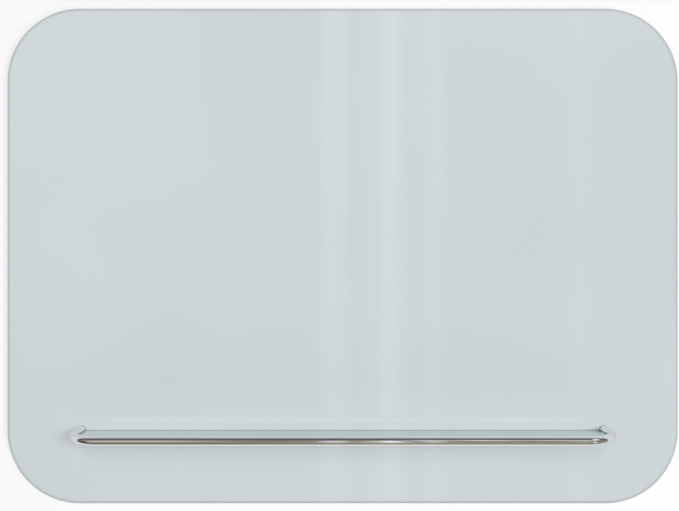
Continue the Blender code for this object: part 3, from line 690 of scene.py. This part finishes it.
def hook_mesh(box, web_low):
    """Z section whose web has its underside at web_low. One limb hangs from the web's back edge, and one
    stands on its front edge: flange and lip on the wall half, lip and flange on the board half."""
    back, front = box.back + HOOK_WALL, box.front - HOOK_WALL
    corners = [(box.back, box.low), (back, box.low), (back, web_low), (box.front, web_low),
               (box.front, box.high), (front, box.high), (front, web_low + HOOK_WALL),
               (box.back, web_low + HOOK_WALL)]
    return prism(rounded(corners, HOOK_RADIUS), box.left, box.right)


wall_sleeves, cleat_sleeves = ([Box("%s_sleeve_%d" % (group, number)) for number in range(1, 5)]
                               for group in ("wall_rail", "lower_cleat"))
for node, sleeves in (("wall_rail", wall_sleeves), ("lower_wall_cleat_left", cleat_sleeves[:2]),
                      ("lower_wall_cleat_right", cleat_sleeves[2:])):
    box = Box(node)
    dress(box, hook_mesh(box, box.low + WALL_FLANGE - HOOK_WALL),
          [drill_bit(FIXING_HOLE_RADIUS, -OVERRUN, HOOK_WALL + OVERRUN, across_wall(sleeve))
           for sleeve in sleeves])

rail = Box("board_rail")
web_low = rail.high - BOARD_FLANGE
notch = np.array(rectangle(0, rail.back + HOOK_WALL + NOTCH_CLEARANCE, rail.low - OVERRUN, web_low))
cutters = []
for side, sign in zip(SIDES, (-1, 1)):
    cutters.append(prism(notch, *sorted((sign * (rail.right - LIP_SETBACK), sign * (rail.right + OVERRUN)))))
    cutters.append(drill_bit(LEVELLING_HOLE_RADIUS, web_low - OVERRUN, web_low + HOOK_WALL + OVERRUN,
                             upright(Box("levelling_screw_" + side))))
dress(rail, hook_mesh(rail, web_low), cutters)
for side in SIDES:
    box = Box("lower_board_cleat_" + side)
    dress(box, hook_mesh(box, box.high - BOARD_FLANGE))
for node in ("board_rail_tape", "lower_cleat_tape_left", "lower_cleat_tape_right"):
    box = Box(node)
    dress(box, bar(box, SOFT_EDGE))
print("hooks: 6 extrusions and 3 tapes")

# %% [markdown]
# ## Frame fixings
# A frame fixing is a nylon sleeve that goes through the rail into the wall, and a screw that spreads it. The
# sleeve has a collar, and barbs that grip the hole. The screw has a pan head with a hexagon socket, and its
# coarse thread shows where the tip comes out of the sleeve, so only that end is threaded.

# %% Make the sleeves and screws
SLEEVE_BORE_RADIUS = 2.7 * MM
SLEEVE_RADIUS = 4 * MM
COLLAR_THICKNESS = 1.5 * MM
BARB_PITCH = 3 * MM
BARB_DEPTH = 0.45 * MM
SOCKET_FLATS = 4 * MM
SOCKET_DEPTH = 2 * MM
HEAD_HEIGHT = 3.5 * MM
HEAD_ROUND = 1.4 * MM
TIP_LENGTH = 5 * MM
THREAD_SHOWN = 10 * MM
SCREW_PITCH = 2.4 * MM
SCREW_RADIUS = 2.4 * MM
SCREW_THREAD_DEPTH = 0.5 * MM
ROWS_PER_COARSE_PITCH = 12
SMALL_EDGE = 0.25 * MM
# A width across flats, in metres, that is too large to hold any radius in
NO_FLATS = 1.0


def sleeve_mesh(box):
    """Tube with a collar. Its outside drops by the barbs' depth and climbs back once each pitch."""
    collar_back = box.front - COLLAR_THICKNESS
    barbs = [(radius, out + step) for out in np.arange(box.back + BARB_PITCH, -BARB_PITCH, BARB_PITCH)
             for radius, step in ((SLEEVE_RADIUS, 0), (SLEEVE_RADIUS - BARB_DEPTH, SMALL_EDGE))]
    collar = rounded([(SLEEVE_RADIUS, -BARB_PITCH), (SLEEVE_RADIUS, collar_back),
                      (box.width / 2, collar_back), (box.width / 2, box.front),
                      (SLEEVE_BORE_RADIUS, box.front), (SLEEVE_BORE_RADIUS, box.back)],
                     [0, 0, SMALL_EDGE, 2 * SMALL_EDGE, SMALL_EDGE, 0], closed=False)
    nose = [(SLEEVE_RADIUS - 2 * BARB_DEPTH, box.back)]
    return turned(np.concatenate([nose, barbs, collar]), across_wall(box), ring=True)


def socketed(body, top, flats, depth, place, cut):
    """Turned body with a hexagon socket sunk into its top end."""
    socket = [(flats, top), (flats, top - depth), (0, top - depth)]
    all_flats = [NO_FLATS] * len(body) + [flats, flats, NO_FLATS]
    return turned(np.concatenate([body, socket]), place, flats=all_flats, cut=cut)


def fixing_screw_mesh(box):
    """Pointed screw with a pan head and a hexagon socket."""
    head, head_back = box.width / 2, box.front - HEAD_HEIGHT
    thread_end = box.back + THREAD_SHOWN
    body = rounded([(0, box.back), (SCREW_RADIUS, box.back + TIP_LENGTH), (SCREW_RADIUS, thread_end),
                    (SCREW_RADIUS, head_back), (head, head_back), (head, box.front),
                    (SOCKET_FLATS, box.front)],
                   [0, 0, 0, 0, SMALL_EDGE, HEAD_ROUND, 0], closed=False)[:-1]
    body = with_rows(body, box.back, thread_end, SCREW_PITCH / ROWS_PER_COARSE_PITCH)
    return socketed(body, box.front, SOCKET_FLATS, SOCKET_DEPTH, across_wall(box),
                    thread(SCREW_PITCH, SCREW_THREAD_DEPTH, box.back, thread_end))


for sleeve in wall_sleeves + cleat_sleeves:
    dress(sleeve, sleeve_mesh(sleeve))
    screw = Box(sleeve.node.replace("sleeve", "screw"))
    dress(screw, fixing_screw_mesh(screw))
print("fixings: 8 sleeves and 8 screws")

# %% [markdown]
# ## Levelling screws and their lock nuts
# Two M5 set screws stand on the wall rail's lip and carry the board, so that it can be levelled. Each has a
# thread of 0.8 mm pitch and a hexagon socket. The lock nut is a hexagon whose corners are chamfered, top and
# bottom, by a cone.

# %% Make the levelling gear
# Pitch and depth of the thread, then the socket's width across flats and its depth
M5_SIZES = (0.8 * MM, 0.45 * MM, 2.5 * MM, 3 * MM)
NUT_BORE_RADIUS = 2.8 * MM
NUT_CHAMFER = 0.6 * MM
ROWS_PER_PITCH = 8
CHAMFER_ROWS = 6
# Where the chamfer's cone starts on an end face, as a share of the distance to a flat
CONE_START = 0.96


def hexagon_rows(flats, low, high, chamfer):
    """Profile of a hexagon chamfered by a cone at both ends, with rows for the curved chamfer line."""
    corner, start = flats / 2 / cos(pi / 6), flats / 2 * CONE_START
    share = np.linspace(0, 1, CHAMFER_ROWS)
    rise = np.column_stack([start + (corner - start) * share, chamfer * share])
    return np.concatenate([rise + (0, low), rise[::-1] * (1, -1) + (0, high)])


def set_screw_mesh(box, foot, top, pitch, depth, socket_flats, socket_depth):
    """Headless upright screw with a thread all along and a socket in its top end, which may point down."""
    radius = box.width / 2
    body = rounded([(0, foot), (radius, foot), (radius, top), (socket_flats, top)],
                   [0, depth, SMALL_EDGE, 0], closed=False)[:-1]
    body = with_rows(body, foot, top, pitch / ROWS_PER_PITCH)
    return socketed(body, top, socket_flats, socket_depth, upright(box),
                    thread(pitch, depth, box.low, box.high))


for side in SIDES:
    box = Box("levelling_screw_" + side)
    dress(box, set_screw_mesh(box, box.low, box.high, *M5_SIZES))
    box = Box("levelling_nut_" + side)
    rows = hexagon_rows(box.width, box.low, box.high, NUT_CHAMFER)
    bore = [(NUT_BORE_RADIUS + SMALL_EDGE, box.high), (NUT_BORE_RADIUS, box.high - SMALL_EDGE),
            (NUT_BORE_RADIUS, box.low + SMALL_EDGE), (NUT_BORE_RADIUS + SMALL_EDGE, box.low)]
    flats = [box.width] * len(rows) + [NO_FLATS] * len(bore)
    dress(box, turned(np.concatenate([rows, bore]), upright(box), ring=True, flats=flats))
print("levelling gear: 2 screws and 2 lock nuts")

# %% [markdown]
# ## Bumpers
# A rubber bumper behind each corner holds the glass off the wall. It is moulded with a rounded nose and a
# shallow dimple, where the moulding gate was.

# %% Make the bumpers
BUMPER_NOSE_RADIUS = 8 * MM
BUMPER_NOSE_HEIGHT = 3 * MM
DIMPLE_RADIUS = 3 * MM
DIMPLE_DEPTH = 0.6 * MM
MOULD_EDGE = 0.4 * MM
NOSE_ROUND = 2 * MM
SHOULDER_ROUND = 1.5 * MM

for level in ("upper", "lower"):
    for side in SIDES:
        box = Box(level + "_bumper_" + side)
        profile = rounded([(0, box.back + DIMPLE_DEPTH), (DIMPLE_RADIUS, box.back + DIMPLE_DEPTH),
                           (DIMPLE_RADIUS + DIMPLE_DEPTH, box.back), (BUMPER_NOSE_RADIUS, box.back),
                           (box.width / 2, box.back + BUMPER_NOSE_HEIGHT), (box.width / 2, box.front),
                           (0, box.front)],
                          [0, MOULD_EDGE, MOULD_EDGE, NOSE_ROUND, SHOULDER_ROUND, MOULD_EDGE, 0],
                          closed=False)
        dress(box, turned(profile, across_wall(box)))
print("bumpers: 4")

# %% [markdown]
# ## Spigots and what holds them
# A spigot is turned from stainless bar: a flange on the glass, and a peg for the tube to slide over. A bolt
# from behind pulls it onto the glass, with a washer on the steel, a nylon bush in the hole and a soft gasket
# under the flange. Two set screws under the rail's arms lock the tube on.

# %% Make the spigots, rings and bolts
FLANGE_THICKNESS = 1.5 * MM
PEG_RADIUS = 6.2 * MM
PEG_NOSE = 1 * MM
TAPPED_RADIUS = 3.3 * MM
TAPPED_DEPTH = 14 * MM
BOLT_RADIUS = 3 * MM
BOLT_HEAD = 4 * MM
BOLT_FLATS = 10 * MM
BOLT_CHAMFER = 0.7 * MM
M6_PITCH = 1 * MM
M6_DEPTH = 0.5 * MM
# The set screw's sizes in the order of M5_SIZES, with its socket pointing down
GRUB_SIZES = (0.7 * MM, 0.35 * MM, 2 * MM, -1.2 * MM)
RING_EDGES = {"spigot_gasket_": 0.15 * MM, "glass_hole_bush_": 0.3 * MM, "spigot_washer_": 0.2 * MM}

for side, box in zip(SIDES, spigots):
    flange_front = box.back + FLANGE_THICKNESS
    profile = rounded([(0, box.back + TAPPED_DEPTH), (TAPPED_RADIUS, box.back + TAPPED_DEPTH),
                       (TAPPED_RADIUS, box.back), (box.width / 2, box.back), (box.width / 2, flange_front),
                       (PEG_RADIUS, flange_front), (PEG_RADIUS, box.front - PEG_NOSE),
                       (PEG_RADIUS - PEG_NOSE, box.front), (0, box.front)],
                      [0, 0, SMALL_EDGE, SMALL_EDGE, SMALL_EDGE, 0, SMALL_EDGE, SMALL_EDGE, 0], closed=False)
    dress(box, turned(profile, across_wall(box)))
    for prefix, edge in RING_EDGES.items():
        box = Box(prefix + side)
        corners = rectangle(TAPPED_RADIUS, box.width / 2, box.back, box.front)
        dress(box, turned(rounded(corners, edge), across_wall(box), ring=True))
    box = Box("spigot_bolt_" + side)
    head_front = box.back + BOLT_HEAD
    head = hexagon_rows(BOLT_FLATS, box.back, head_front, BOLT_CHAMFER)
    shank = with_rows([(BOLT_RADIUS, head_front), (BOLT_RADIUS, box.front)], head_front, box.front,
                      M6_PITCH / ROWS_PER_PITCH)
    profile = np.concatenate([[(0, box.back)], head, shank, [(0, box.front)]])
    flats = [NO_FLATS] + [BOLT_FLATS] * len(head) + [NO_FLATS] * (len(shank) + 1)
    dress(box, turned(profile, across_wall(box), flats=flats,
                      cut=thread(M6_PITCH, M6_DEPTH, head_front, box.front)))
    box = Box("grub_screw_" + side)
    dress(box, set_screw_mesh(box, box.high, box.low, *GRUB_SIZES))
print("rail mounting: 12 pieces")

# %% [markdown]
# ## Camera
# The photograph looks squarely at the middle of the board. Its two vanishing cues, the arms of the pen rail,
# meet at the board's centre, and the rail's depth against its width gives the distance. So the camera stands
# on the board's middle axis, and a tiny shift puts that axis where the photograph has it. The outline that
# the camera sees is the crest of the pencil edge, so the distance is measured to the middle of the pane.

# %% Place the camera
IMAGE_WIDTH, IMAGE_HEIGHT = 679, 511
AXIS_X, AXIS_Y = 342.65, 256.0
FOCAL_PIXELS = 700
DISTANCE = 1.2745

camera_data = bpy.data.cameras.new("camera")
camera = new_object("camera", camera_data)
camera.location = (glass.x, -glass.out - DISTANCE, glass.z)
camera.rotation_euler = (pi / 2, 0, 0)
camera_data.lens = FOCAL_PIXELS / IMAGE_WIDTH * camera_data.sensor_width
camera_data.shift_x = (IMAGE_WIDTH / 2 - AXIS_X) / IMAGE_WIDTH
camera_data.shift_y = (AXIS_Y - IMAGE_HEIGHT / 2) / IMAGE_WIDTH
bpy.context.scene.camera = camera
print("camera: %.1f mm lens, %.3f m from the glass" % (camera_data.lens, DISTANCE))

# %% [markdown]
# ## Wall and floor
# The board needs a white wall behind it, and only the camera has to see it: behind the wall the board's
# hooks still want light. So the wall is hidden from every other kind of ray, and clear from behind. Most of
# its white is a glow of its own, as in an overexposed studio wall. The rest comes from a lamp that lights
# only the wall, and that small share is what the board's soft shadow takes away.

# %% Make the stage
FLOOR_BELOW = 0.85
STAGE_REACH = 3.0
WALL_ABOVE = 1.6
WALL_GAP = 0.2 * MM
WALL_REFLECTS = 0.03
WALL_GLOW = 0.79
WALL_SHADOW = 0.2
FLOOR_REFLECTS = 0.4
FLOOR_GLOW = 0.5


def stage_plane(name, corners, reflects, glow, one_sided):
    """Flat sheet that belongs to the studio: part of its light is its own, and part is what falls on it."""
    mesh = bpy.data.meshes.new(name)
    mesh.from_pydata(corners, [], [(0, 1, 2, 3)])
    plane = new_object(name, mesh)
    material = bpy.data.materials.new("white_" + name)
    material.use_nodes = True
    tree = material.node_tree
    tree.nodes.clear()
    matt = add(tree, "BsdfDiffuse", {"Color": (reflects, reflects, reflects, 1)})
    front = add(tree, "AddShader", {0: matt, 1: add(tree, "Emission", {"Strength": glow})})
    if one_sided:
        back = add(tree, "NewGeometry").outputs["Backfacing"]
        front = add(tree, "MixShader", {0: back, 1: front, 2: add(tree, "BsdfTransparent")})
    add(tree, "OutputMaterial", {"Surface": front})
    mesh.materials.append(material)
    plane.visible_glossy = plane.visible_transmission = plane.visible_shadow = False
    plane.visible_diffuse = False
    return plane


floor_z, reach = glass.low - FLOOR_BELOW, STAGE_REACH
wall = stage_plane("wall", [(x, WALL_GAP, z) for x, z in rectangle(-reach, reach, floor_z, WALL_ABOVE)],
                   WALL_REFLECTS, WALL_GLOW, one_sided=True)
stage_plane("floor", [(x, y, floor_z) for x, y in rectangle(-reach, reach, -reach, reach)],
            FLOOR_REFLECTS, FLOOR_GLOW, one_sided=False)
print("stage: a wall and a floor")

# %% [markdown]
# ## The room that the chrome sees
# Mirrors need something to reflect, so for glossy rays the world is a simple room. Its tone depends on the
# height of a ray: bright behind the board, dark overhead, grey ahead, darker again below, and bright at the
# foot of the wall. It is a little warm on the left and greenish on the right. One dark corner stands on the
# left, and the room is bright again at both sides of the board. Windows and paler places add to that: each
# is a band across the room, by a ray's angle to the side, times a span upright, by its angle up.
# Matt surfaces see a plainer room, with some light from above and some from straight below, which lifts
# the edges that face down. The camera itself sees white.

# %% Tones and lights of the room
# Light on matt surfaces, from straight below at -1 to straight above at 1
DIFFUSE_LEVELS = [(-0.85, 0.6), (-0.6, 0.03), (-0.1, 0.05), (0.3, 0.16)]
# Tones by the height angle in degrees: 0 is straight ahead of the board, 90 up, -90 down
ROOM_TONES = [(-98, "#EEF0F1"), (-90, "#E8E8E4"), (-62, "#D8D8D4"), (-53, "#67675F"), (-30, "#67675F"),
              (-22, "#90908A"), (-6, "#8C8C86"), (2, "#7A7A75"), (40, "#7C7C7A"), (47, "#606064"),
              (72, "#5C5C60"), (84, "#5C5D62"), (95, "#F2F4F5")]
SIDE_TINTS = [(-0.5, "#FFF6F0"), (-0.1, "#FFFBF6"), (0.1, "#FFFEF6"), (0.5, "#FCFFF2")]
# Each light's levels by the side angle, then its shares by the height angle, both in degrees
ROOM_LIGHTS = {
    "pale left wall": (
        [(-90, 0.1), (-22, 0.2), (-15, 0.22), (-8, 0.02), (-5, 0)],
        [(-18, 0), (-8, 0.2), (0, 0.6), (8, 1), (20, 1), (33, 0.1), (44, 0)]),
    "tall windows": (
        [(-6, 0), (-1.85, 0.04), (-1.6, 0.3), (-0.1, 0.3), (0.7, 0.06), (1.8, 0.05), (2, 0.18), (2.9, 0.18),
         (3.05, 0.46), (4.6, 0.46), (4.75, 0.22), (5, 0.2), (5.2, 0.06), (6.7, 0.06), (6.9, 0.22),
         (7.4, 0.22), (7.6, 0.1), (7.8, 0.28), (8.15, 0.28), (8.35, 0.02), (17.7, 0), (17.85, 0.1),
         (18.25, 0.1), (18.4, 0.03), (18.7, 0.1), (19.1, 0.1), (19.3, 0)],
        [(-26, 0), (-20, 0.6), (-8, 0.75), (0, 0.9), (8, 1), (20, 1), (33, 0.1), (44, 0)]),
    "high windows": (
        [(-18, 0.045), (-12, 0), (4.5, 0), (6.5, 0.1), (7.3, 0.26), (9.6, 0.26), (10.2, 0.14), (11.2, 0.14),
         (11.6, 0.38), (14.2, 0.38), (15, 0.2), (17.2, 0.2), (17.8, 0.24), (20.5, 0.24), (21.5, 0.3),
         (24, 0.3), (26, 0)],
        [(16, 0), (27, 1), (40, 1), (45, 0)]),
    "end window": (
        [(25, 0), (26.5, 1), (38, 1), (42, 0)],
        [(-22, 0), (-18, 0.5), (-9, 0.5), (-4, 0), (18, 0), (24, 0.3), (40, 0.3), (44, 0)]),
    "corner window": (
        [(36, 0), (38, 0.8), (54, 0.8), (58, 0)],
        [(43, 0), (47, 1), (58, 1), (62, 0)]),
    "light on the floor": (
        [(-14, 0), (8, 0.075)],
        [(-54, 0), (-48, 1), (-28, 1), (-20, 0)]),
}
WINDOW_STRENGTH = 1.5
# The dark corner: its level, its angle to the left, and the cosines between which it sets in
CORNER_SHADE = 0.1
CORNER_DEGREES = 60
CORNER_EDGE = (0.9, 0.96)
# The bright room beside the board: its tone, its angle, how a steep ray narrows it, and its soft edge
BESIDE_TONE = "#D8DBDC"
BESIDE_DEGREES = 77
BESIDE_NARROWS = 0.14
BESIDE_EDGE = 0.06
print("room:", ", ".join(ROOM_LIGHTS))

# %% Make the world
def tone_at(value, low, high, stops):
    """Tone that follows stops at real values between low and high, and is level before and after them."""
    node = add(value.id_data, "ValToRGB", {"Fac": between(value, 0, 1, low, high)})
    elements = node.color_ramp.elements
    while len(elements) < len(stops):
        elements.new(1.0)
    for element, (place, tone) in zip(elements, stops):
        element.position = (place - low) / (high - low)
        element.color = colour(tone) if isinstance(tone, str) else (tone, tone, tone, 1)
    return node


world = bpy.data.worlds.new("studio")
bpy.context.scene.world = world
world.use_nodes = True
# Such a smooth room needs no light sampling of its own
world.cycles.sampling_method = "NONE"
tree = world.node_tree
tree.nodes.clear()
direction = add(tree, "SeparateXYZ", {0: add(tree, "TexCoord").outputs["Generated"]}).outputs
forward = add(tree, "Math", {0: direction["Y"], 1: -1.0}, operation="MULTIPLY")
angles = [add(tree, "Math", {0: direction[axis], 1: forward}, operation="ARCTAN2") for axis in ("Z", "X")]
height_angle, side_angle = (add(tree, "Math", {0: angle}, operation="DEGREES") for angle in angles)

seen = add(tree, "VectorMath", {0: tone_at(height_angle, -180, 180, ROOM_TONES),
                                1: tone_at(direction["X"], -1, 1, SIDE_TINTS)}, operation="MULTIPLY")
to_left = add(tree, "Math", {0: direction["X"], 1: -sin(radians(CORNER_DEGREES))}, operation="MULTIPLY")
corner = add(tree, "Math", {0: forward, 1: cos(radians(CORNER_DEGREES)), 2: to_left}, operation="MULTIPLY_ADD")
seen = add(tree, "VectorMath", {0: seen, "Scale": between(corner, 1, CORNER_SHADE, *CORNER_EDGE)},
           operation="SCALE")
for across, upwards in ROOM_LIGHTS.values():
    share = add(tree, "VectorMath", {0: tone_at(height_angle, -90, 90, upwards), "Scale": WINDOW_STRENGTH},
                operation="SCALE")
    seen = add(tree, "VectorMath", {0: tone_at(side_angle, -90, 90, across), 1: share, 2: seen},
               operation="MULTIPLY_ADD")
aside, steep = (add(tree, "Math", {0: direction[axis]}, operation="ABSOLUTE") for axis in ("X", "Z"))
aside = add(tree, "Math", {0: aside, 1: 1 / tan(radians(BESIDE_DEGREES))}, operation="MULTIPLY")
steep = add(tree, "Math", {0: steep, 1: BESIDE_NARROWS, 2: forward}, operation="MULTIPLY_ADD")
beside = add(tree, "Math", {0: aside, 1: steep}, operation="SUBTRACT")
seen = between(beside, seen, BESIDE_TONE, 0, BESIDE_EDGE)

# A mirrored ray that met a matt surface first counts as matt
path = add(tree, "LightPath").outputs
mirror = add(tree, "Math", {0: path["Is Glossy Ray"], 1: path["Is Transmission Ray"]}, operation="MAXIMUM")
mirror = add(tree, "Math", {0: mirror, 1: path["Diffuse Depth"]}, operation="GREATER_THAN")
even, mirrored, white = (add(tree, "Background", {"Color": tone}) for tone in
                         (tone_at(direction["Z"], -1, 1, DIFFUSE_LEVELS), seen, (1, 1, 1, 1)))
shown = add(tree, "MixShader", {0: mirror, 1: even, 2: mirrored})
shown = add(tree, "MixShader", {0: path["Is Camera Ray"], 1: shown, 2: white})
add(tree, "OutputWorld", {"Surface": shown})
print("world:", len(tree.nodes), "nodes")

# %% [markdown]
# ## Lamps
# Three soft lamps light the board: one nearly straight ahead, a broad one to the right that puts the rail's
# shadow to its left, and one above that puts it on the glass below. They hang far off, so that the light is
# as even from top to bottom as in the photograph. One behind the wall lights the hooks. A lamp's share is how
# much it adds to a white surface that faces it, so the shares and the world's level add up to about one, and
# colours come out as written. The wall has a lamp of its own, tied to it by light linking, because its
# shadow falls another way.

# %% Hang the lamps
def lit_objects(name, state):
    """Collection for light linking that holds only the wall, as included in a lamp's light or excluded."""
    linked = bpy.data.collections.new(name)
    linked.objects.link(wall)
    linked.collection_objects[0].light_linking.link_state = state
    return linked


all_but_wall = lit_objects("all_but_wall", "EXCLUDE")
only_wall = lit_objects("only_wall", "INCLUDE")


def hang_lamp(name, right, up, distance, width, height, share, ahead=1, lights=all_but_wall):
    """Lamp aimed at the board's centre from angles right and up of its axis. Its power is
    share x pi squared x distance squared, over the cosine at which it meets the board."""
    data = bpy.data.lights.new(name, "AREA")
    data.shape = "RECTANGLE"
    data.size, data.size_y = width, height
    lamp = new_object(name, data)
    towards = Vector((tan(radians(right)), -ahead, tan(radians(up)))).normalized()
    lamp.location = Vector((glass.x, -glass.front, glass.z)) + towards * distance
    lamp.rotation_euler = towards.to_track_quat("Z", "Y").to_euler()
    data.energy = share * pi ** 2 * distance ** 2 / abs(towards.y)
    lamp.visible_glossy = lamp.visible_camera = lamp.visible_transmission = False
    lamp.light_linking.receiver_collection = lights


# Degrees right and up, then metres away, wide and high, then the share
hang_lamp("front_lamp", 4, 8, 28.0, 7.2, 4.0, 0.37)
hang_lamp("window_lamp", 28, 12, 28.0, 20.0, 4.8, 0.39)
hang_lamp("ceiling_lamp", 0, 25, 24.0, 9.6, 10.8, 0.17)
hang_lamp("back_lamp", -15, 20, 7.0, 3.0, 2.4, 0.8, ahead=-1)
hang_lamp("wall_lamp", 33, -12, 9.0, 3.0, 8.4, WALL_SHADOW / WALL_REFLECTS, lights=only_wall)
print("lamps:", len(bpy.data.lights))

# %% [markdown]
# ## View transform
# The picture keeps its plain view transform, so that a colour is shown as it was written.

# %% Set the view transform
bpy.context.scene.view_settings.view_transform = "Standard"
